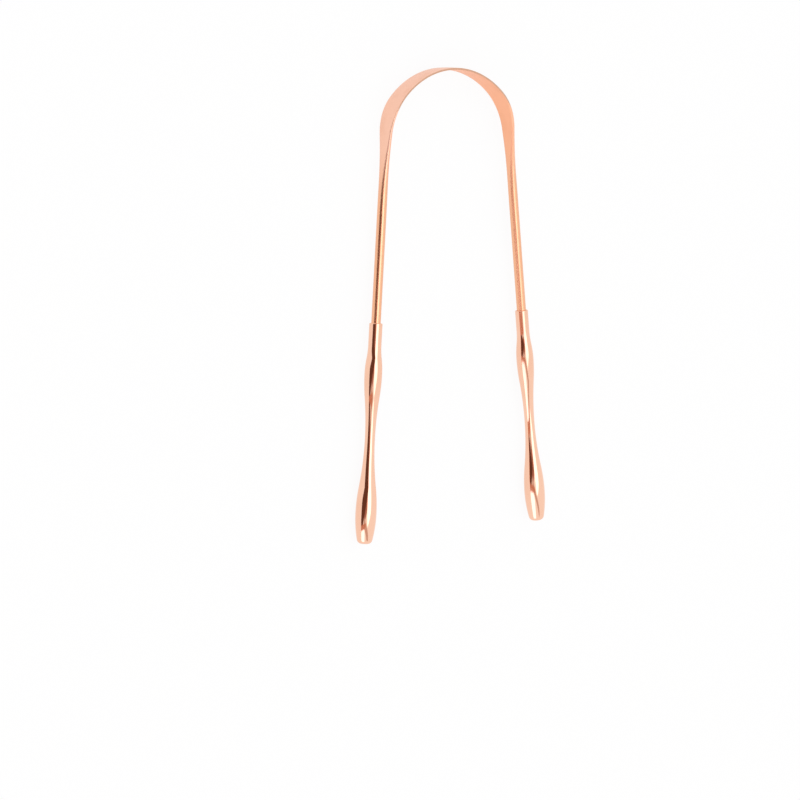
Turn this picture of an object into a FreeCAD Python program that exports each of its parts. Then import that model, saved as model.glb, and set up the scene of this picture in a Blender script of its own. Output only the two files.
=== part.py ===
import FreeCAD, Part
import math
import os

import Sketcher

# Tongue scraper: a springy copper bow with a turned handle on each leg.
# It lies flat with X to the right, Y towards the blade and Z up, in millimetres and degrees.

# Driving dimensions
SIZES = {
    # Wire and the band it is rolled into
    "wire_diameter": 3.0,
    "band_width": 7.3,
    "band_thickness": 0.8,
    "face_share": 0.2,
    # Line of the bow: crown arc, shoulder arcs, straight legs
    "crown_radius": 29.5,
    "crown_half_angle": 43.0,
    "shoulder_radius": 18.0,
    "splay_angle": 4.9,
    "leg_length": 59.5,
    "flex_gap": 0.2,
    # Taper from band to wire: its share of the shoulder arc, then its length on the straight leg
    "taper_lead_share": 0.83,
    "taper_run": 24.0,
    # Handle bore and the adhesive in it
    "bond_film": 0.2,
    "bond_floor": 1.5,
    "bond_recess": 2.0,
    "bond_clearance": 0.02,
    "bore_depth": 18.0,
    "drill_angle": 118.0,
    # Handle outline, from the mouth: steps in radius, then runs along the axis
    "neck_wall": 0.4,
    "bulge_rise": 0.7,
    "waist_depth": 1.2,
    "bulb_rise": 1.75,
    "neck_length": 7.0,
    "bulge_run": 9.0,
    "waist_run": 20.5,
    "bulb_run": 23.5,
    "end_run": 9.6,
    "neck_hollow_share": 0.44,
    "waist_hollow_share": 0.64,
    "end_curve": 40.0,
    "tip_corner": 1.5,
    "rim_chamfer": 0.25,
}

# Sizes that follow from the driving ones, as formulas of the sheet
DERIVED = {
    "wire_radius": "wire_diameter / 2",
    "bore_radius": "wire_radius + bond_film",
    "neck_radius": "bore_radius + neck_wall",
    "rim_radius": "neck_radius - rim_chamfer",
    "bulge_radius": "neck_radius + bulge_rise",
    "waist_radius": "bulge_radius - waist_depth",
    "bulb_radius": "waist_radius + bulb_rise",
    "bulge_place": "neck_length + bulge_run",
    "waist_place": "bulge_place + waist_run",
    "bulb_place": "waist_place + bulb_run",
    "handle_length": "bulb_place + end_run",
    "neck_curve": "neck_hollow_share * (bulge_run^2 + bulge_rise^2) / (2 * bulge_rise)",
    "waist_front_curve": "waist_hollow_share * (waist_run^2 + waist_depth^2) / (2 * waist_depth)",
    "waist_back_curve": "waist_hollow_share * (bulb_run^2 + bulb_rise^2) / (2 * bulb_rise)",
    "tip_radius": "bulb_radius - end_curve"
                  " + sqrt((end_curve - tip_corner)^2 - (end_run - tip_corner)^2)",
    "cone_depth": "bore_radius / tan(drill_angle / 2 * 1deg)",
    "tail_length": "bore_depth - bond_floor",
    "bond_inner": "wire_radius + bond_clearance",
    "bond_outer": "bore_radius - bond_clearance",
    "bond_floor_top": "tail_length + bond_clearance",
    "bond_bottom": "bore_depth - bond_clearance",
    "splay_sine": "sin(splay_angle * 1deg)",
    "splay_cosine": "cos(splay_angle * 1deg)",
    "shoulder_x": "(crown_radius - shoulder_radius) * sin(crown_half_angle * 1deg)",
    "shoulder_y": "(crown_radius - shoulder_radius) * cos(crown_half_angle * 1deg) - crown_radius",
    "leg_x": "shoulder_x + shoulder_radius * splay_cosine",
    "leg_y": "shoulder_y + shoulder_radius * splay_sine",
    "mouth_x": "leg_x + leg_length * splay_sine",
    "mouth_y": "leg_y - leg_length * splay_cosine",
    "handle_reach": "(handle_length - tip_corner) * splay_cosine + tip_radius * splay_sine + tip_corner",
    "apex_y": "(handle_reach - mouth_y - band_thickness / 2) / 2",
    "axis_height": "max(band_width / 2; bulb_radius)",
    "crown_sweep": "2 * (crown_half_angle - flex_gap / 2 / crown_radius * 180 / pi)",
    "arm_start": "crown_half_angle + flex_gap / 2 / shoulder_radius * 180 / pi",
    "arm_angle": "90 - arm_start",
    "arm_x": "shoulder_x + shoulder_radius * sin(arm_start * 1deg)",
    "arm_y": "shoulder_y + shoulder_radius * cos(arm_start * 1deg)",
    "apex_angle": "90",
    "shoulder_length": "shoulder_radius * (90 - splay_angle - crown_half_angle) * pi / 180",
    "taper_lead": "taper_lead_share * shoulder_length",
    "taper_start": "90 - splay_angle - taper_lead / shoulder_radius * 180 / pi",
    "shoulder_sweep": "taper_start - arm_start",
    "taper_length": "taper_lead + taper_run",
    "wire_length": "leg_length - taper_run + tail_length",
}

# Stations of the taper: shares of its stretch on the arc, then of its stretch on the leg
ARC_STATIONS = [0.0, 0.35, 0.7, 1.0]
LEG_STATIONS = [0.25, 0.5, 0.75, 1.0]
BAND = "band"

doc = FreeCAD.newDocument("tongue_scraper")
sheet = doc.addObject("Spreadsheet::Sheet", "sizes")
sheet_row = 0


def add_cell(name, content):
    """Writes one named cell into the next row of the sheet."""
    global sheet_row
    sheet_row += 1
    sheet.set("A%d" % sheet_row, name)
    sheet.set("B%d" % sheet_row, content)
    sheet.setAlias("B%d" % sheet_row, name)


def add_section_cells(name, taper_share):
    """Adds the sizes of one wire section, from the flat band (share 0) to the round wire (share 1).

    The section is a smooth oval of four arcs, and a circle where its width and thickness are equal.
    Its slope is the tangent of half the turn from the middle of a face to its corner.
    """
    remainder = "(1 - %s^2 * (3 - 2 * %s))" % (taper_share, taper_share)
    wide, thick, slope = "wide_" + name, "thick_" + name, "slope_" + name
    face_curve, edge_curve = "face_curve_" + name, "edge_curve_" + name
    add_cell(wide, "=wire_radius + (band_width / 2 - wire_radius) * %s^2" % remainder)
    add_cell(thick, "=wire_radius - (wire_radius - band_thickness / 2) * %s" % remainder)
    add_cell(slope, "=face_share * %s / %s" % (thick, wide))
    add_cell(face_curve, "=(%s * (1 + %s) - %s * (1 - %s)) / (2 * %s)" % (wide, slope, thick, slope, slope))
    add_cell(edge_curve, "=(%s - %s * %s) / (1 - %s)" % (thick, wide, slope, slope))
    add_cell("corner_wide_" + name, "=%s * 2 * %s / (1 + %s^2)" % (face_curve, slope, slope))
    add_cell("corner_thick_" + name, "=%s * (1 - %s^2) / (1 + %s^2)" % (edge_curve, slope, slope))


def add_arc_station(name, share):
    """Adds a taper station on the shoulder arc: its place, its normal's angle and its section."""
    turn = "(90 - splay_angle - %r * taper_lead / shoulder_radius * 180 / pi)" % (1 - share)
    add_cell("x_" + name, "=shoulder_x + shoulder_radius * sin(%s * 1deg)" % turn)
    add_cell("y_" + name, "=shoulder_y + shoulder_radius * cos(%s * 1deg)" % turn)
    add_cell("angle_" + name, "=90 - %s" % turn)
    add_section_cells(name, "(%r * taper_lead / taper_length)" % share)


def add_leg_station(name, share):
    """Adds a taper station on the straight leg."""
    add_cell("x_" + name, "=leg_x + %r * taper_run * splay_sine" % share)
    add_cell("y_" + name, "=leg_y - %r * taper_run * splay_cosine" % share)
    add_cell("angle_" + name, "=splay_angle")
    add_section_cells(name, "((taper_lead + %r * taper_run) / taper_length)" % share)


def fill_sheet():
    """Fills the sheet and returns the names of the taper stations in order."""
    for name, number in SIZES.items():
        add_cell(name, str(number))
    for name, formula in DERIVED.items():
        add_cell(name, "=" + formula)
    add_section_cells(BAND, "0")
    stations = []
    for index, share in enumerate(ARC_STATIONS):
        stations.append("arc_%d" % index)
        add_arc_station(stations[-1], share)
    for index, share in enumerate(LEG_STATIONS):
        stations.append("leg_%d" % index)
        add_leg_station(stations[-1], share)
    doc.recompute()
    return stations


def size(name):
    """Gives the present value of a named cell."""
    return float(getattr(sheet, name))


def origin_plane(body, role):
    """Finds one of the body's own origin planes."""
    return next(plane for plane in body.Origin.OriginFeatures if plane.Role == role)


def new_body(label):
    """Starts a body whose label names its file."""
    body = doc.addObject("PartDesign::Body", label)
    body.Label = label
    return body


def new_sketch(body, name, role):
    """Starts a sketch on one of the body's origin planes."""
    sketch = body.newObject("Sketcher::SketchObject", name)
    sketch.AttachmentSupport = [(origin_plane(body, role), "")]
    sketch.MapMode = "FlatFace"
    return sketch


def hold(sketch, cell, kind, *ends):
    """Adds a dimension to a sketch, named after the cell that it is bound to."""
    index = sketch.addConstraint(Sketcher.Constraint(kind, *ends, size(cell)))
    sketch.renameConstraint(index, cell)
    sketch.setExpression("Constraints." + cell, "sizes." + cell)


def arc(centre_x, centre_y, radius, start, end):
    """Makes an arc from its centre, radius and angles in radians, anticlockwise."""
    circle = Part.Circle(FreeCAD.Vector(centre_x, centre_y, 0), FreeCAD.Vector(0, 0, 1), radius)
    return Part.ArcOfCircle(circle, start, end)


def line(x1, y1, x2, y2):
    """Makes a line between two points of a sketch."""
    return Part.LineSegment(FreeCAD.Vector(x1, y1, 0), FreeCAD.Vector(x2, y2, 0))


def place_across_bow(sketch, angle, x=None, y=None):
    """Sets a sketch on the XZ plane square to the bow: X along the bow's outward normal, Y up.

    The angle and the place are names of cells, and a sketch with no place stays at the apex.
    """
    sketch.AttachmentOffset = FreeCAD.Placement(
        FreeCAD.Vector(0, 0, 0), FreeCAD.Rotation(FreeCAD.Vector(0, 1, 0), size(angle)))
    sketch.setExpression("AttachmentOffset.Rotation.Angle", "sizes." + angle)
    if x:
        sketch.setExpression("AttachmentOffset.Base.x", "sizes." + x)
        sketch.setExpression("AttachmentOffset.Base.z", "-sizes." + y)


def draw_section(sketch, name):
    """Draws one section of the wire from four arcs: two broad faces and two rounded edges."""
    wide, thick = size("wide_" + name), size("thick_" + name)
    corner_wide, corner_thick = size("corner_wide_" + name), size("corner_thick_" + name)
    face_curve, edge_curve = size("face_curve_" + name), size("edge_curve_" + name)
    face_turn = math.atan2(corner_wide, corner_thick - thick + face_curve)
    edge_turn = math.atan2(corner_thick, corner_wide - wide + edge_curve)
    up, left, down = math.pi / 2, math.pi, -math.pi / 2
    outer = sketch.addGeometry(arc(thick - face_curve, 0, face_curve, -face_turn, face_turn))
    upper = sketch.addGeometry(arc(0, wide - edge_curve, edge_curve, up - edge_turn, up + edge_turn))
    inner = sketch.addGeometry(arc(face_curve - thick, 0, face_curve, left - face_turn, left + face_turn))
    lower = sketch.addGeometry(arc(0, edge_curve - wide, edge_curve, down - edge_turn, down + edge_turn))
    ring = [outer, upper, inner, lower]
    for index, first in enumerate(ring):
        sketch.addConstraint(Sketcher.Constraint("Coincident", first, 2, ring[index - 3], 1))
    sketch.addConstraint(Sketcher.Constraint("Symmetric", outer, 2, inner, 2, -1, 1))
    sketch.addConstraint(Sketcher.Constraint("Symmetric", outer, 2, inner, 1, -2))
    sketch.addConstraint(Sketcher.Constraint("Symmetric", outer, 1, inner, 2, -2))
    sketch.addConstraint(Sketcher.Constraint("Equal", outer, inner))
    sketch.addConstraint(Sketcher.Constraint("Equal", upper, lower))
    hold(sketch, "corner_thick_" + name, "DistanceX", -1, 1, outer, 2)
    hold(sketch, "corner_wide_" + name, "DistanceY", -1, 1, outer, 2)
    hold(sketch, "face_curve_" + name, "Radius", outer)
    hold(sketch, "edge_curve_" + name, "Radius", upper)


def add_turning_line(sketch, radius):
    """Adds a construction line beside a section, on the inside of the bow at the named radius."""
    distance = size(radius)
    axis = sketch.addGeometry(line(-distance, 0, -distance, size("wire_radius")), True)
    sketch.addConstraint(Sketcher.Constraint("Vertical", axis))
    sketch.addConstraint(Sketcher.Constraint("PointOnObject", axis, 1, -1))
    hold(sketch, radius, "DistanceX", axis, 1, -1, 1)
    hold(sketch, "wire_radius", "DistanceY", axis, 1, axis, 2)


def add_revolution(body, sketch, axis, sweep):
    """Turns a sketch about one of its axes by the named angle, or by a full turn."""
    turned = body.newObject("PartDesign::Revolution", sketch.Name + "_turned")
    turned.Profile = sketch
    turned.ReferenceAxis = (sketch, [axis])
    if sweep:
        turned.setExpression("Angle", "sizes." + sweep)
    else:
        turned.Angle = 360.0
    sketch.Visibility = False
    return turned


def make_crown(label):
    """Makes the crown of the bow, a band turned evenly to both sides of the apex."""
    body = new_body(label)
    sketch = new_sketch(body, label + "_section", "XZ_Plane")
    place_across_bow(sketch, "apex_angle")
    draw_section(sketch, BAND)
    add_turning_line(sketch, "crown_radius")
    turned = add_revolution(body, sketch, "Axis0", "crown_sweep")
    turned.Midplane = True
    return body


def make_arm(label, stations):
    """Makes the right-hand arm of the bow: shoulder band, taper, and wire down into the handle."""
    body = new_body(label)
    start = new_sketch(body, label + "_shoulder", "XZ_Plane")
    place_across_bow(start, "arm_angle", "arm_x", "arm_y")
    draw_section(start, BAND)
    add_turning_line(start, "shoulder_radius")
    turned = add_revolution(body, start, "Axis0", "shoulder_sweep")
    turned.Reversed = True
    sections = []
    for station in stations:
        section = new_sketch(body, label + "_" + station, "XZ_Plane")
        place_across_bow(section, "angle_" + station, "x_" + station, "y_" + station)
        draw_section(section, station)
        section.Visibility = False
        sections.append(section)
    taper = body.newObject("PartDesign::AdditiveLoft", label + "_taper")
    taper.Profile = sections[0]
    taper.Sections = sections[1:]
    wire = body.newObject("PartDesign::Pad", label + "_wire")
    wire.Profile = sections[-1]
    wire.setExpression("Length", "sizes.wire_length")
    return body


def handle_outline():
    """Gives the handle's outline as named lines and arcs, with X its radius and the mouth at Y = 0.

    Each swelling meets the hollow beside it where the line between their extremes is cut in the
    proportion of the two radii.
    """
    cone_end = -size("bore_depth") - size("cone_depth")
    neck, bulge = size("neck_radius"), size("bulge_radius")
    waist, bulb = size("waist_radius"), size("bulb_radius")
    neck_end, bulge_y = -size("neck_length"), -size("bulge_place")
    waist_y, bulb_y, tip_y = -size("waist_place"), -size("bulb_place"), -size("handle_length")
    neck_curve = size("neck_curve")
    bulge_front = neck_curve * (1 / size("neck_hollow_share") - 1)
    waist_front, waist_back = size("waist_front_curve"), size("waist_back_curve")
    swell_ratio = 1 / size("waist_hollow_share") - 1
    bulge_back, bulb_front = waist_front * swell_ratio, waist_back * swell_ratio
    end_curve, corner = size("end_curve"), size("tip_corner")
    neck_turn = math.asin(size("bulge_run") / (neck_curve + bulge_front))
    front_turn = math.asin(size("waist_run") / (waist_front + bulge_back))
    back_turn = math.asin(size("bulb_run") / (waist_back + bulb_front))
    end_turn = math.asin((size("end_run") - corner) / (end_curve - corner))
    half = math.pi
    return {
        "cone": line(0, cone_end, size("bore_radius"), -size("bore_depth")),
        "wall": line(size("bore_radius"), -size("bore_depth"), size("bore_radius"), 0),
        "mouth": line(size("bore_radius"), 0, size("rim_radius"), 0),
        "rim": line(size("rim_radius"), 0, neck, -size("rim_chamfer")),
        "neck": line(neck, -size("rim_chamfer"), neck, neck_end),
        "neck_hollow": arc(neck + neck_curve, neck_end, neck_curve, half, half + neck_turn),
        "bulge_front": arc(bulge - bulge_front, bulge_y, bulge_front, 0, neck_turn),
        "bulge_back": arc(bulge - bulge_back, bulge_y, bulge_back, -front_turn, 0),
        "waist_front": arc(waist + waist_front, waist_y, waist_front, half - front_turn, half),
        "waist_back": arc(waist + waist_back, waist_y, waist_back, half, half + back_turn),
        "bulb_front": arc(bulb - bulb_front, bulb_y, bulb_front, 0, back_turn),
        "bulb_end": arc(bulb - end_curve, bulb_y, end_curve, -end_turn, 0),
        "corner": arc(size("tip_radius"), tip_y + corner, corner, -half / 2, -end_turn),
        "tip": line(size("tip_radius"), tip_y, 0, tip_y),
        "axis": line(0, tip_y, 0, cone_end),
    }


def draw_handle(sketch):
    """Draws the handle's half section and ties it to the sheet."""
    piece = {name: sketch.addGeometry(shape) for name, shape in handle_outline().items()}
    sharp = [("cone", 2, "wall", 1), ("wall", 2, "mouth", 1), ("mouth", 2, "rim", 1), ("rim", 2, "neck", 1),
             ("tip", 2, "axis", 1), ("axis", 2, "cone", 1)]
    smooth = [("neck", 2, "neck_hollow", 1), ("neck_hollow", 2, "bulge_front", 2),
              ("bulge_front", 1, "bulge_back", 2), ("bulge_back", 1, "waist_front", 1),
              ("waist_front", 2, "waist_back", 1), ("waist_back", 2, "bulb_front", 2),
              ("bulb_front", 1, "bulb_end", 2), ("bulb_end", 1, "corner", 2), ("corner", 1, "tip", 1)]
    for kind, joints in (("Coincident", sharp), ("Tangent", smooth)):
        for first, first_end, second, second_end in joints:
            sketch.addConstraint(
                Sketcher.Constraint(kind, piece[first], first_end, piece[second], second_end))
    for name in ("wall", "neck", "axis"):
        sketch.addConstraint(Sketcher.Constraint("Vertical", piece[name]))
    for name in ("mouth", "tip"):
        sketch.addConstraint(Sketcher.Constraint("Horizontal", piece[name]))
    for name, extreme in (("bulge_front", 1), ("waist_front", 2), ("bulb_front", 1)):
        sketch.addConstraint(Sketcher.Constraint("Horizontal", piece[name], 3, piece[name], extreme))
    sketch.addConstraint(Sketcher.Constraint("PointOnObject", piece["axis"], 1, -2))
    sketch.addConstraint(Sketcher.Constraint("PointOnObject", piece["wall"], 2, -1))
    widths = {"bore_radius": ("wall", 1), "rim_radius": ("mouth", 2), "neck_radius": ("neck", 1),
              "bulge_radius": ("bulge_front", 1), "waist_radius": ("waist_front", 2),
              "bulb_radius": ("bulb_front", 1)}
    for cell, (name, end) in widths.items():
        hold(sketch, cell, "DistanceX", -1, 1, piece[name], end)
    depths = {"bore_depth": ("wall", 1), "rim_chamfer": ("rim", 2), "neck_length": ("neck", 2),
              "bulge_place": ("bulge_front", 1), "waist_place": ("waist_front", 2),
              "bulb_place": ("bulb_front", 1), "handle_length": ("tip", 1)}
    for cell, (name, end) in depths.items():
        hold(sketch, cell, "DistanceY", piece[name], end, -1, 1)
    curves = {"neck_curve": "neck_hollow", "waist_front_curve": "waist_front",
              "waist_back_curve": "waist_back", "end_curve": "bulb_end", "tip_corner": "corner"}
    for cell, name in curves.items():
        hold(sketch, cell, "Radius", piece[name])
    hold(sketch, "cone_depth", "DistanceY", piece["cone"], 1, piece["cone"], 2)


def draw_bond(sketch):
    """Draws the half section of the adhesive cup round the wire's tail."""
    inner, outer = size("bond_inner"), size("bond_outer")
    recess, floor, bottom = -size("bond_recess"), -size("bond_floor_top"), -size("bond_bottom")
    corners = [(0, floor), (inner, floor), (inner, recess), (outer, recess), (outer, bottom), (0, bottom)]
    sides = []
    for index, (x, y) in enumerate(corners):
        sides.append(sketch.addGeometry(line(x, y, *corners[index - 5])))
    for index, side in enumerate(sides):
        sketch.addConstraint(Sketcher.Constraint("Coincident", side, 2, sides[index - 5], 1))
        sketch.addConstraint(Sketcher.Constraint("Vertical" if index % 2 else "Horizontal", side))
    sketch.addConstraint(Sketcher.Constraint("PointOnObject", sides[0], 1, -2))
    for cell, corner in (("bond_inner", 1), ("bond_outer", 3)):
        hold(sketch, cell, "DistanceX", -1, 1, sides[corner], 1)
    for cell, corner in (("bond_floor_top", 0), ("bond_recess", 2), ("bond_bottom", 4)):
        hold(sketch, cell, "DistanceY", sides[corner], 1, -1, 1)


def make_turned(label, draw):
    """Makes a body of revolution about its own Y axis, with the handle's mouth at its origin."""
    body = new_body(label)
    sketch = new_sketch(body, label + "_profile", "XY_Plane")
    draw(sketch)
    add_revolution(body, sketch, "V_Axis", None)
    return body


def place_bow_piece(body, turned_over):
    """Puts a piece of the bow in place, with its apex at the body's origin.

    The bow is the same above and below its middle plane, so the left arm is the right one turned over.
    """
    turn = FreeCAD.Rotation(FreeCAD.Vector(0, 1, 0), 180 if turned_over else 0)
    body.Placement = FreeCAD.Placement(FreeCAD.Vector(0, 0, 0), turn)
    body.setExpression("Placement.Base.y", "sizes.apex_y")
    body.setExpression("Placement.Base.z", "sizes.axis_height")


def place_on_leg(body, side):
    """Puts a handle or its bond on the left (-1) or right (1) leg, with the mouth at the leg's end."""
    turn = FreeCAD.Rotation(FreeCAD.Vector(0, 0, side), size("splay_angle"))
    body.Placement = FreeCAD.Placement(FreeCAD.Vector(0, 0, 0), turn)
    body.setExpression("Placement.Rotation.Angle", "sizes.splay_angle")
    body.setExpression("Placement.Base.x", "%d * sizes.mouth_x" % side)
    body.setExpression("Placement.Base.y", "sizes.apex_y + sizes.mouth_y")
    body.setExpression("Placement.Base.z", "sizes.axis_height")


def export(nodes):
    """Stops at a faulty object, and writes one STEP file for each node."""
    for thing in doc.Objects:
        if "Invalid" in thing.State or "Error" in thing.State:
            raise RuntimeError("%s: %s" % (thing.Name, thing.State))
    os.makedirs("parts", exist_ok=True)
    for node in nodes:
        if node.Shape.isNull() or not node.Shape.isValid():
            raise RuntimeError("%s has no valid shape" % node.Label)
        node.Shape.exportStep("parts/%s.step" % node.Label)
        print("%-14s %8.2f mm3" % (node.Label, node.Shape.Volume))


def main():
    """Builds the seven nodes, places them and writes their files."""
    stations = fill_sheet()
    crown = make_crown("blade_crown")
    place_bow_piece(crown, False)
    nodes = [crown]
    for name, side in (("left", -1), ("right", 1)):
        arm = make_arm(name + "_arm", stations)
        place_bow_piece(arm, side < 0)
        handle = make_turned(name + "_handle", draw_handle)
        place_on_leg(handle, side)
        bond = make_turned(name + "_bond", draw_bond)
        place_on_leg(bond, side)
        nodes += [arm, handle, bond]
    doc.recompute()
    export(nodes)


main()
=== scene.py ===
import math

import bpy
from mathutils import Matrix, Vector


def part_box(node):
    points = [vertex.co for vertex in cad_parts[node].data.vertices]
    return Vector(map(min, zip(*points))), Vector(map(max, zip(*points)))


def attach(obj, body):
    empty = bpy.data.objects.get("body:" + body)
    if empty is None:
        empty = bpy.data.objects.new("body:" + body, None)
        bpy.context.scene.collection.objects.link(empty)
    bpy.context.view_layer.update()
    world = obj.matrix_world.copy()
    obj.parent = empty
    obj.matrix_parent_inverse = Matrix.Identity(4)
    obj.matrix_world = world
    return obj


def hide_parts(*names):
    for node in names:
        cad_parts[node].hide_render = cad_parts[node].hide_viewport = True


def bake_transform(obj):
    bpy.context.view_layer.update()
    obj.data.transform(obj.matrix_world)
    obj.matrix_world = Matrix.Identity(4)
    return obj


# Tongue scraper: a satin copper bow and two mirror-polished handles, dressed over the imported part.
# Sizes are in millimetres unless a name says otherwise, and meshes are in metres.
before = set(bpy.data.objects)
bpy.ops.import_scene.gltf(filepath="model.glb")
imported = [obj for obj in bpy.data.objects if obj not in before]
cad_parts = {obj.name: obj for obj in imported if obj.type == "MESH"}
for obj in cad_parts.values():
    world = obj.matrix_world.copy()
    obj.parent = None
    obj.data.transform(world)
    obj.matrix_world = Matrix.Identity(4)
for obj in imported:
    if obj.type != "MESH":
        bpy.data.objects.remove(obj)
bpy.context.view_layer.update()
MM = 0.001

# Line of the bow, from the apex of the crown to the tail in the handle
CROWN_RADIUS = 29.5
CROWN_HALF_ANGLE = math.radians(43.0)
SHOULDER_RADIUS = 18.0
SPLAY = math.radians(4.9)
LEG_LENGTH = 59.5
TAIL_LENGTH = 16.5
CROWN_LENGTH = CROWN_RADIUS * CROWN_HALF_ANGLE
SHOULDER_LENGTH = SHOULDER_RADIUS * (math.pi / 2 - SPLAY - CROWN_HALF_ANGLE)
LEG_START = CROWN_LENGTH + SHOULDER_LENGTH
BOW_END = LEG_START + LEG_LENGTH + TAIL_LENGTH

# Section of the bow: a rolled band that swells into round wire
WIRE_RADIUS = 1.5
BAND_HALF_WIDTH = 3.65
BAND_HALF_THICKNESS = 0.4
FACE_SHARE = 0.2
TAPER_SHOULDER_SHARE = 0.83
TAPER_LEAD = TAPER_SHOULDER_SHARE * SHOULDER_LENGTH
TAPER_RUN = 24.0
APEX_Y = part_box("blade_crown")[1].y / MM - BAND_HALF_THICKNESS
AXIS_HEIGHT = BAND_HALF_WIDTH

# Reach along the bow to each side of a flexing joint
BEND_REACH = 9.0

# Outline of the handle: places along its axis from the mouth and radii there, and the curves that join them
BORE_RADIUS = 1.7
BORE_DEPTH = 18.0
NECK = (7.0, 2.1)
BULGE = (16.0, 2.8)
WAIST = (36.5, 1.6)
BULB = (60.0, 3.35)
HANDLE_LENGTH = 69.6
NECK_HOLLOW_SHARE = 0.44
WAIST_HOLLOW_SHARE = 0.64
END_CURVE = 40.0
TIP_CORNER = 1.5

# Fineness of the meshes
BOW_STEP = 0.4
LEG_STEP = 3.0
SECTION_ARC_POINTS = 24
TURNED_POINTS = 128
OUTLINE_ARC_POINTS = 24

# Name of the place that every point of a mesh keeps for its material, in metres
PLACE = "surface_place"

# Colours of the metal and the resin
BAND_OUTSIDE = (1.0, 0.61, 0.455, 1.0)
# Painted reflection: the band's inner side is warmer, standing in for copper-tinted light reflected inside
# the bow
BAND_INSIDE_PAINTED_REFLECTION = (1.0, 0.505, 0.31, 1.0)
# Painted shade: a darker brown line along the band's edges
EDGE_PAINTED_SHADE = (0.68, 0.41, 0.28, 1.0)
WIRE_COPPER = (0.93, 0.49, 0.295, 1.0)
TARNISH = (0.78, 0.38, 0.22, 1.0)
TARNISH_SHARE = 0.15
ROSE_COPPER = (0.956, 0.595, 0.435, 1.0)
ROSE_TARNISH = (0.93, 0.56, 0.40, 1.0)
DARK_RESIN = (0.28, 0.17, 0.09, 1.0)
PALE_RESIN = (0.42, 0.30, 0.18, 1.0)

# The band's inner colour, painted warmer as a reflection of copper-tinted light inside the bow, sets in
# about the middle of its thickness, and a painted shade line darkens it near its edges
INNER_BLEND = 0.2
EDGE_START = 3.45
EDGE_END = 3.6

# Grain of the surfaces: repeats to a metre along a piece, outwards and upwards, and its detail
DRAWN_LINES = ((70.0, 9000.0, 9000.0), 3.0)
TARNISH_PATCHES = ((160.0, 220.0, 220.0), 4.0)
TURNING_MARKS = ((2500.0, 40.0, 40.0), 2.0)
HANDLING_HAZE = ((90.0, 160.0, 160.0), 4.0)
FINE_SCRATCHES = ((1200.0, 300.0, 5000.0), 2.0)
RESIN_CLOUDS = ((900.0, 900.0, 900.0), 3.0)

# The span of most noise, and the spans in which tarnish and scratches set in
NOISE_SPAN = (0.3, 0.7)
TARNISH_SPAN = (0.45, 0.75)
SCRATCH_SPAN = (0.62, 0.72)

# Roughness from the smoothest to the roughest places, and what tarnish, drawing and scratches change
BAND_ROUGHNESS = (0.34, 0.42)
TARNISH_ROUGHNESS = 0.08
WIRE_SMOOTHING = -0.17
HANDLE_ROUGHNESS = (0.05, 0.1)
SCRATCH_ROUGHNESS = 0.06
RESIN_ROUGHNESS = (0.3, 0.5)

# Depth of the relief, and the share of it that shows
LINE_RELIEF = (0.01, 0.12)
TURNING_RELIEF = (0.002, 0.2)
RESIN_RELIEF = (0.05, 0.4)

# The tilt of the studio seen in the metal, and its directions: to the camera, to the right, and to the blade
STUDIO_TILT = math.radians(40.405)
STUDIO_FRONT = Vector((-math.sin(STUDIO_TILT), 0.0, math.cos(STUDIO_TILT)))
STUDIO_RIGHT = Vector((math.cos(STUDIO_TILT), 0.0, math.sin(STUDIO_TILT)))
TO_BLADE = Vector((0.0, 1.0, 0.0))

# Panels in degrees round the handles and along them: middle, half sizes, turn, and light
FLAG_RIM = ((4.0, 3.0), (22.0, 6.0), 24.0, (0.42, 0.2, 0.15))
DARK_FLAG = ((-15.8, 12.0), (52.0, 13.5), 28.0, (0.13, 0.054, 0.034))
RIGHT_BOX = ((34.0, 3.5), (19.0, 15.5), 22.0, (2.1, 2.1, 2.15))
LOW_BOX = ((-29.0, -34.5), (25.0, 21.5), -8.0, (1.85, 1.85, 2.1))
RIGHT_STRIP = ((16.0, -19.0), (38.0, 4.5), -19.0, (0.65, 0.48, 0.42))
LEFT_STRIP = ((-30.0, -12.3), (34.0, 2.5), 0.0, (0.6, 0.28, 0.19))

# How square the panels' corners are, how soft their edges are, and the light of the tent round them
PANEL_SQUARENESS = 4.0
PANEL_EDGE = 0.35
WHITE = (1.0, 1.0, 1.0, 1.0)

# Floor: half its side, its matt white, and the share of it that keeps shadows
FLOOR_HALF_IN_METRES = 3.0
FLOOR_WHITE = (0.95, 0.95, 0.95, 1.0)
FLOOR_SHADE = 0.08

# Camera, fitted to the photograph's frame
IMAGE_PIXELS = 800
FOCAL_PIXELS = 3748.6
CAMERA_PLACE = Vector((-784.86, 102.81, 900.70))
CAMERA_TARGET = Vector((-21.34, -29.94, 3.65))
CAMERA_ROLL = math.radians(-0.692)


def bow_place(distance):
    """Gives the place on the right half of the bow's line at a distance from the apex, and its normal."""
    turn = min(distance, CROWN_LENGTH) / CROWN_RADIUS
    turn += min(max(distance - CROWN_LENGTH, 0.0), SHOULDER_LENGTH) / SHOULDER_RADIUS
    normal = Vector((math.sin(turn), math.cos(turn), 0.0))
    centre = Vector((0.0, APEX_Y - CROWN_RADIUS, AXIS_HEIGHT))
    if distance <= CROWN_LENGTH:
        return centre + normal * CROWN_RADIUS, normal
    seam = Vector((math.sin(CROWN_HALF_ANGLE), math.cos(CROWN_HALF_ANGLE), 0.0))
    place = centre + seam * (CROWN_RADIUS - SHOULDER_RADIUS) + normal * SHOULDER_RADIUS
    along = Vector((normal.y, -normal.x, 0.0))
    return place + along * max(distance - LEG_START, 0.0), normal


def bow_section(distance):
    """Gives the half width and half thickness of the bow at a distance from the apex."""
    share = (distance - LEG_START + TAPER_LEAD) / (TAPER_LEAD + TAPER_RUN)
    share = min(max(share, 0.0), 1.0)
    remainder = 1.0 - share ** 2 * (3.0 - 2.0 * share)
    half_width = WIRE_RADIUS + (BAND_HALF_WIDTH - WIRE_RADIUS) * remainder ** 2
    half_thickness = WIRE_RADIUS - (WIRE_RADIUS - BAND_HALF_THICKNESS) * remainder
    return half_width, half_thickness


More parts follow.
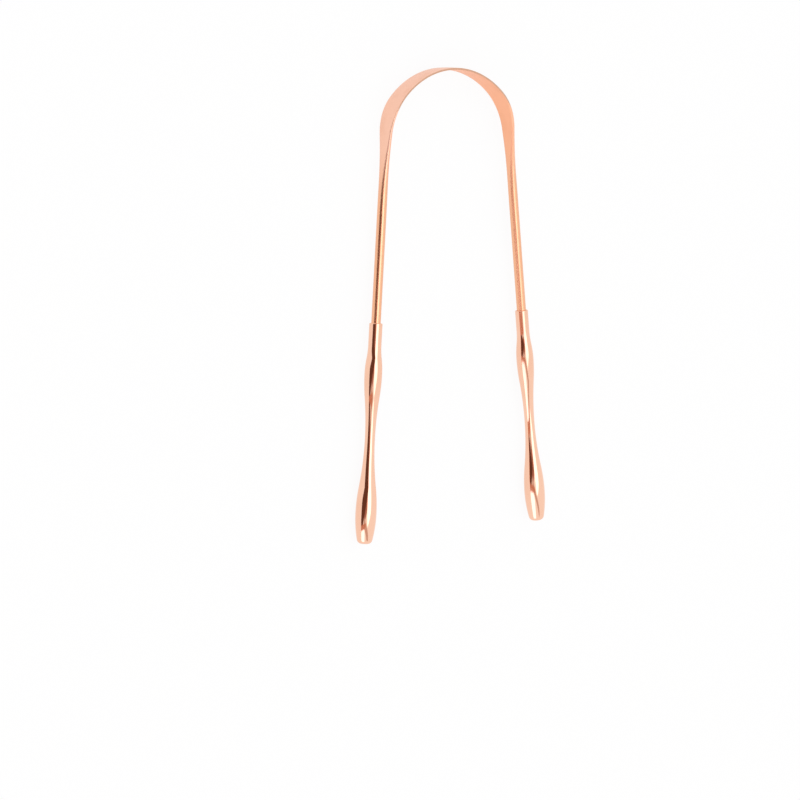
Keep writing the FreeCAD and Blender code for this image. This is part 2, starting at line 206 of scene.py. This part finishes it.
def section_arcs(half_width, half_thickness):
    """Gives the four arcs of a smooth oval: centre outwards and upwards, radius, and start and end turn."""
    slope = FACE_SHARE * half_thickness / half_width
    face = (half_width * (1.0 + slope) - half_thickness * (1.0 - slope)) / (2.0 * slope)
    edge = (half_thickness - half_width * slope) / (1.0 - slope)
    corner = 2.0 * math.atan(slope)
    half_turn = math.pi
    return ((half_thickness - face, 0.0, face, -corner, corner),
            (0.0, half_width - edge, edge, corner, half_turn - corner),
            (face - half_thickness, 0.0, face, half_turn - corner, half_turn + corner),
            (0.0, edge - half_width, edge, half_turn + corner, 2.0 * half_turn - corner))


def bow_ring(distance, side):
    """Gives one ring round the bow as points and places: along the bow, outwards and upwards."""
    middle, normal = bow_place(distance)
    points, places = [], []
    for centre_out, centre_up, radius, start, end in section_arcs(*bow_section(distance)):
        for index in range(SECTION_ARC_POINTS):
            turn = start + (end - start) * index / SECTION_ARC_POINTS
            out = centre_out + radius * math.cos(turn)
            up = centre_up + radius * math.sin(turn)
            point = middle + normal * out
            points.append(Vector((side * point.x, point.y, point.z + up)) * MM)
            places.append(Vector((distance, out, up)) * MM)
    return points, places


def bow_distances():
    """Gives the distances of the rings along the bow, close together on the curved and tapering part."""
    taper_end = LEG_START + TAPER_RUN
    fine = math.ceil(taper_end / BOW_STEP)
    coarse = math.ceil((BOW_END - taper_end) / LEG_STEP)
    distances = [taper_end * index / fine for index in range(fine)]
    return distances + [taper_end + (BOW_END - taper_end) * index / coarse for index in range(coarse + 1)]


def handle_swell(start, end, share):
    """Gives points, except the last, on two arcs that smoothly join two extremes of the handle's outline."""
    run, rise = end[0] - start[0], end[1] - start[1]
    whole = (run ** 2 + rise ** 2) / (2.0 * rise)
    points = []
    for radius, base, direction, low, high in (
            (whole * share, start, 1.0, 0.0, run * share),
            (whole * (1.0 - share), end, -1.0, run * (share - 1.0), 0.0)):
        for index in range(OUTLINE_ARC_POINTS):
            along = low + (high - low) * index / OUTLINE_ARC_POINTS
            height = radius - math.copysign(math.sqrt(radius ** 2 - along ** 2), radius)
            points.append((base[0] + along, base[1] + direction * height))
    return points


def handle_round(centre, radius, start, end):
    """Gives points on a corner of the handle's outline, from angles where 0 points outwards."""
    points = []
    for index in range(OUTLINE_ARC_POINTS + 1):
        turn = start + (end - start) * index / OUTLINE_ARC_POINTS
        points.append((centre[0] + radius * math.sin(turn), centre[1] + radius * math.cos(turn)))
    return points


def handle_outline():
    """Gives the handle's outline from the bottom of its bore, round the lip and along to the tip."""
    lip = (NECK[1] - BORE_RADIUS) / 2.0
    end_turn = math.asin((HANDLE_LENGTH - BULB[0] - TIP_CORNER) / (END_CURVE - TIP_CORNER))
    corner_radius = BULB[1] - END_CURVE + (END_CURVE - TIP_CORNER) * math.cos(end_turn)
    steps = [index / OUTLINE_ARC_POINTS for index in range(1, OUTLINE_ARC_POINTS)]
    points = [(BORE_DEPTH, BORE_RADIUS / 2.0), (BORE_DEPTH, BORE_RADIUS)]
    points += [(BORE_DEPTH + (lip - BORE_DEPTH) * step, BORE_RADIUS) for step in steps]
    points += handle_round((lip, BORE_RADIUS + lip), lip, -math.pi, 0.0)
    points += [(lip + (NECK[0] - lip) * step, NECK[1]) for step in steps]
    points += handle_swell(NECK, BULGE, NECK_HOLLOW_SHARE)
    points += handle_swell(BULGE, WAIST, 1.0 - WAIST_HOLLOW_SHARE)
    points += handle_swell(WAIST, BULB, WAIST_HOLLOW_SHARE)
    points += handle_round((BULB[0], BULB[1] - END_CURVE), END_CURVE, 0.0, end_turn)
    corner_centre = (HANDLE_LENGTH - TIP_CORNER, corner_radius)
    points += handle_round(corner_centre, TIP_CORNER, end_turn, math.pi / 2)[1:]
    points.append((HANDLE_LENGTH, corner_radius / 2.0))
    return points


def handle_ring(along_axis, radius, along_outline, side):
    """Gives one ring round the handle as points and places: along its outline, outwards and upwards."""
    mouth, normal = bow_place(LEG_START + LEG_LENGTH)
    axis = Vector((normal.y, -normal.x, 0.0))
    points, places = [], []
    for index in range(TURNED_POINTS):
        turn = 2.0 * math.pi * index / TURNED_POINTS
        out, up = radius * math.cos(turn), radius * math.sin(turn)
        point = mouth + axis * along_axis + normal * out
        points.append(Vector((side * point.x, point.y, point.z + up)) * MM)
        places.append(Vector((along_outline, out, up)) * MM)
    return points, places


def tube_piece(name, rings, outside_in):
    """Makes a smooth tube through rings of points, closed by a flat cap at each end."""
    count = len(rings[0][0])
    faces = []
    for step in range(len(rings) - 1):
        nearer, farther = step * count, (step + 1) * count
        for index in range(count):
            after = (index + 1) % count
            faces.append([nearer + index, nearer + after, farther + after, farther + index])
    first = list(range(count))
    last = list(range((len(rings) - 1) * count, len(rings) * count))
    faces += [first[::-1], last]
    if outside_in:
        faces = [face[::-1] for face in faces]
    mesh = bpy.data.meshes.new(name)
    mesh.from_pydata([point for points, places in rings for point in points], [], faces)
    mesh.polygons.foreach_set("use_smooth", [True] * len(faces))
    rims = (frozenset(first), frozenset(last))
    for edge in mesh.edges:
        edge.use_edge_sharp = any(rim.issuperset(edge.vertices) for rim in rims)
    layer = mesh.attributes.new(PLACE, "FLOAT_VECTOR", "POINT")
    values = [number for points, places in rings for place in places for number in place]
    layer.data.foreach_set("vector", values)
    piece = bpy.data.objects.new(name, mesh)
    bpy.context.scene.collection.objects.link(piece)
    return piece


def make_bow_half(name, side, arm):
    """Makes one half of the bow and hides the imported crown and arm that it replaces."""
    rings = [bow_ring(distance, side) for distance in bow_distances()]
    piece = tube_piece(name, rings, side < 0)
    for distance in (CROWN_LENGTH - BEND_REACH, CROWN_LENGTH + BEND_REACH):
        place = bow_place(distance)[0]
    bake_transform(piece)
    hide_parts("blade_crown", arm)
    return piece


def make_handle(name, side, node, body):
    """Makes one turned handle with its open bore."""
    rings = []
    before = None
    along_outline = 0.0
    for point in handle_outline():
        along_outline += math.dist(before, point) if before else 0.0
        rings.append(handle_ring(*point, along_outline, side))
        before = point
    piece = tube_piece(name, rings, side < 0)
    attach(piece, body)
    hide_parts(node)
    return piece


def set_input(tree, socket, value):
    """Links a node's output to a socket, or sets the socket's own value."""
    if isinstance(value, bpy.types.NodeSocket):
        tree.links.new(value, socket)
    else:
        socket.default_value = value


def add_node(tree, kind, inputs=None, **settings):
    """Adds a node with its settings and its inputs by name or number."""
    node = tree.nodes.new(kind)
    for name, value in settings.items():
        setattr(node, name, value)
    for key, value in (inputs or {}).items():
        set_input(tree, node.inputs[key], value)
    return node


def calculate(tree, operation, *values):
    """Gives the result of a calculation with numbers."""
    return add_node(tree, "ShaderNodeMath", dict(enumerate(values)), operation=operation).outputs[0]


def mix_colours(tree, share, first, second):
    """Gives the first colour where the share is 0 and the second where it is 1."""
    mix = add_node(tree, "ShaderNodeMix", {"Factor": share}, data_type="RGBA")
    sockets = [socket for socket in mix.inputs if socket.type == "RGBA"]
    for socket, colour in zip(sockets, (first, second)):
        set_input(tree, socket, colour)
    return next(socket for socket in mix.outputs if socket.type == "RGBA")


def ease(tree, value, start, end, low=0.0, high=1.0):
    """Gives low where a value is at its start, high at its end, and a smooth change between them."""
    inputs = {"Value": value, "From Min": start, "From Max": end, "To Min": low, "To Max": high}
    node = add_node(tree, "ShaderNodeMapRange", inputs, interpolation_type="SMOOTHSTEP")
    return node.outputs["Result"]


def add_noise(tree, place, grain):
    """Gives noise over a place in metres, with the repeats and the detail of a grain."""
    repeats, detail = grain
    scaled = add_node(tree, "ShaderNodeVectorMath", {0: place, 1: repeats}, operation="MULTIPLY")
    inputs = {"Vector": scaled.outputs["Vector"], "Scale": 1.0, "Detail": detail}
    return add_node(tree, "ShaderNodeTexNoise", inputs).outputs["Fac"]


def new_material(name):
    """Starts a metal or plastic and gives it with its tree and its shader."""
    material = bpy.data.materials.new(name)
    material.use_nodes = True
    tree = material.node_tree
    return material, tree, tree.nodes["Principled BSDF"]


def surface_place(tree):
    """Gives the place on a piece's surface: along the piece, outwards and upwards, in metres."""
    return add_node(tree, "ShaderNodeAttribute", attribute_name=PLACE).outputs["Vector"]


def add_bump(tree, shader, height, relief):
    """Raises a shader's surface by a height from 0 to 1, with a relief's depth and strength."""
    inputs = {"Height": height, "Distance": relief[0] * MM, "Strength": relief[1]}
    bump = add_node(tree, "ShaderNodeBump", inputs)
    set_input(tree, shader.inputs["Normal"], bump.outputs["Normal"])


def bow_copper():
    """Satin copper: lines along the wire, slight tarnish, a painted shade line along the band's edges, and a
    painted reflection of copper-tinted light that warms the inner side.
    """
    material, tree, shader = new_material("bow_copper")
    place = surface_place(tree)
    parts = add_node(tree, "ShaderNodeSeparateXYZ", {0: place})
    # Mask of the band's inner side, which gets the painted reflection of copper-tinted light
    inner = ease(tree, parts.outputs["Y"], INNER_BLEND * MM, -INNER_BLEND * MM)
    wire = ease(tree, parts.outputs["X"], LEG_START * MM, (LEG_START + TAPER_RUN) * MM)
    # Mask near the band's edges, where the painted shade line is laid
    edge = ease(tree, calculate(tree, "ABSOLUTE", parts.outputs["Z"]), EDGE_START * MM, EDGE_END * MM)
    lines = add_noise(tree, place, DRAWN_LINES)
    tarnish = add_noise(tree, place, TARNISH_PATCHES)
    # The inner side takes its painted reflection of copper-tinted light
    colour = mix_colours(tree, inner, BAND_OUTSIDE, BAND_INSIDE_PAINTED_REFLECTION)
    colour = mix_colours(tree, wire, colour, WIRE_COPPER)
    colour = mix_colours(tree, ease(tree, tarnish, *TARNISH_SPAN, 0.0, TARNISH_SHARE), colour, TARNISH)
    # Painted shade line along the band's edges
    colour = mix_colours(tree, edge, colour, EDGE_PAINTED_SHADE)
    set_input(tree, shader.inputs["Base Color"], colour)
    shader.inputs["Metallic"].default_value = 1.0
    roughness = ease(tree, lines, *NOISE_SPAN, *BAND_ROUGHNESS)
    roughness = calculate(tree, "MULTIPLY_ADD", tarnish, TARNISH_ROUGHNESS, roughness)
    roughness = calculate(tree, "MULTIPLY_ADD", wire, WIRE_SMOOTHING, roughness)
    set_input(tree, shader.inputs["Roughness"], roughness)
    add_bump(tree, shader, lines, LINE_RELIEF)
    return material


def handle_copper():
    """Mirror-polished rose copper: faint turning marks, fine scratches and the haze of handling."""
    material, tree, shader = new_material("handle_copper")
    place = surface_place(tree)
    turning = add_noise(tree, place, TURNING_MARKS)
    haze = add_noise(tree, place, HANDLING_HAZE)
    scratch = add_noise(tree, place, FINE_SCRATCHES)
    colour = mix_colours(tree, ease(tree, haze, *NOISE_SPAN), ROSE_COPPER, ROSE_TARNISH)
    set_input(tree, shader.inputs["Base Color"], colour)
    shader.inputs["Metallic"].default_value = 1.0
    roughness = ease(tree, haze, *NOISE_SPAN, *HANDLE_ROUGHNESS)
    rougher = ease(tree, scratch, *SCRATCH_SPAN, 0.0, SCRATCH_ROUGHNESS)
    roughness = calculate(tree, "ADD", roughness, rougher)
    set_input(tree, shader.inputs["Roughness"], roughness)
    add_bump(tree, shader, turning, TURNING_RELIEF)
    return material


def adhesive():
    """Cured resin with a cloudy amber body, seen only through the gap at a handle's mouth."""
    material, tree, shader = new_material("adhesive")
    place = add_node(tree, "ShaderNodeTexCoord").outputs["Object"]
    cloud = add_noise(tree, place, RESIN_CLOUDS)
    colour = mix_colours(tree, ease(tree, cloud, *NOISE_SPAN), DARK_RESIN, PALE_RESIN)
    set_input(tree, shader.inputs["Base Color"], colour)
    set_input(tree, shader.inputs["Roughness"], ease(tree, cloud, *NOISE_SPAN, *RESIN_ROUGHNESS))
    add_bump(tree, shader, cloud, RESIN_RELIEF)
    return material


def panel_mask(tree, across, along, middle, half, turn):
    """Gives 1 inside a panel of the studio with rounded corners and 0 outside."""
    right = calculate(tree, "SUBTRACT", across, middle[0])
    ahead = calculate(tree, "SUBTRACT", along, middle[1])
    cosine, sine = math.cos(math.radians(turn)), math.sin(math.radians(turn))
    reach = 0.0
    for across_share, along_share, size in ((cosine, sine, half[0]), (-sine, cosine, half[1])):
        part = calculate(tree, "MULTIPLY", right, across_share / size)
        part = calculate(tree, "MULTIPLY_ADD", ahead, along_share / size, part)
        part = calculate(tree, "POWER", calculate(tree, "ABSOLUTE", part), PANEL_SQUARENESS)
        reach = calculate(tree, "ADD", reach, part)
    return ease(tree, reach, 1.0 + PANEL_EDGE, 1.0 - PANEL_EDGE)


def studio_world():
    """A white tent with two soft boxes, a rimmed dark flag and two coral strips. The camera sees white."""
    world = bpy.data.worlds.new("studio")
    bpy.context.scene.world = world
    world.use_nodes = True
    tree = world.node_tree
    ray = add_node(tree, "ShaderNodeTexCoord").outputs["Generated"]
    parts = []
    for axis in (STUDIO_FRONT, STUDIO_RIGHT, TO_BLADE):
        dot = add_node(tree, "ShaderNodeVectorMath", {0: ray, 1: axis}, operation="DOT_PRODUCT")
        parts.append(dot.outputs["Value"])
    across = calculate(tree, "DEGREES", calculate(tree, "ARCTAN2", parts[1], parts[0]))
    along = calculate(tree, "DEGREES", calculate(tree, "ARCSINE", parts[2]))
    colour = WHITE
    # Each panel covers the ones before it
    for middle, half, turn, light in (FLAG_RIM, DARK_FLAG, RIGHT_BOX, LOW_BOX, RIGHT_STRIP, LEFT_STRIP):
        mask = panel_mask(tree, across, along, middle, half, turn)
        colour = mix_colours(tree, mask, colour, (*light, 1.0))
    camera_ray = add_node(tree, "ShaderNodeLightPath").outputs["Is Camera Ray"]
    colour = mix_colours(tree, camera_ray, colour, WHITE)
    tree.links.new(colour, tree.nodes["Background"].inputs["Color"])


def make_floor():
    """A white floor that keeps a faint shadow of the object."""
    mesh = bpy.data.meshes.new("floor")
    reach = FLOOR_HALF_IN_METRES
    corners = [(-reach, -reach, 0.0), (reach, -reach, 0.0), (reach, reach, 0.0), (-reach, reach, 0.0)]
    mesh.from_pydata(corners, [], [(0, 1, 2, 3)])
    floor = bpy.data.objects.new("floor", mesh)
    bpy.context.scene.collection.objects.link(floor)
    material = bpy.data.materials.new("white_floor")
    material.use_nodes = True
    tree = material.node_tree
    tree.nodes.clear()
    path = add_node(tree, "ShaderNodeLightPath")
    seen = calculate(tree, "MAXIMUM", path.outputs["Is Camera Ray"], path.outputs["Is Glossy Ray"])
    seen = calculate(tree, "MAXIMUM", seen, path.outputs["Is Transmission Ray"])
    glow = calculate(tree, "MULTIPLY", seen, 1.0 - FLOOR_SHADE)
    matt = add_node(tree, "ShaderNodeBsdfDiffuse", {"Color": FLOOR_WHITE})
    white = add_node(tree, "ShaderNodeEmission", {"Color": WHITE})
    mix = add_node(tree, "ShaderNodeMixShader", {0: glow, 1: matt.outputs[0], 2: white.outputs[0]})
    add_node(tree, "ShaderNodeOutputMaterial", {"Surface": mix.outputs[0]})
    mesh.materials.append(material)


def make_camera():
    """A camera at the photograph's viewing angle."""
    data = bpy.data.cameras.new("camera")
    data.lens = data.sensor_width * FOCAL_PIXELS / IMAGE_PIXELS
    camera = bpy.data.objects.new("camera", data)
    bpy.context.scene.collection.objects.link(camera)
    back = (CAMERA_PLACE - CAMERA_TARGET).normalized()
    right = TO_BLADE.cross(back).normalized()
    turn = Matrix((right, back.cross(right), back)).transposed() @ Matrix.Rotation(CAMERA_ROLL, 3, "Z")
    camera.matrix_world = Matrix.Translation(CAMERA_PLACE * MM) @ turn.to_4x4()
    bpy.context.scene.camera = camera


copper = bow_copper()
polished = handle_copper()
resin = adhesive()
for label, direction in (("left", -1), ("right", 1)):
    half = make_bow_half("bow_" + label, direction, label + "_arm")
    half.data.materials.append(copper)
    handle = make_handle("handle_" + label, direction, label + "_handle", label + "_side")
    handle.data.materials.append(polished)
    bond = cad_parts[label + "_bond"]
    bond.data.materials.clear()
    bond.data.materials.append(resin)

make_floor()
studio_world()
make_camera()
bpy.context.scene.view_settings.view_transform = "Standard"
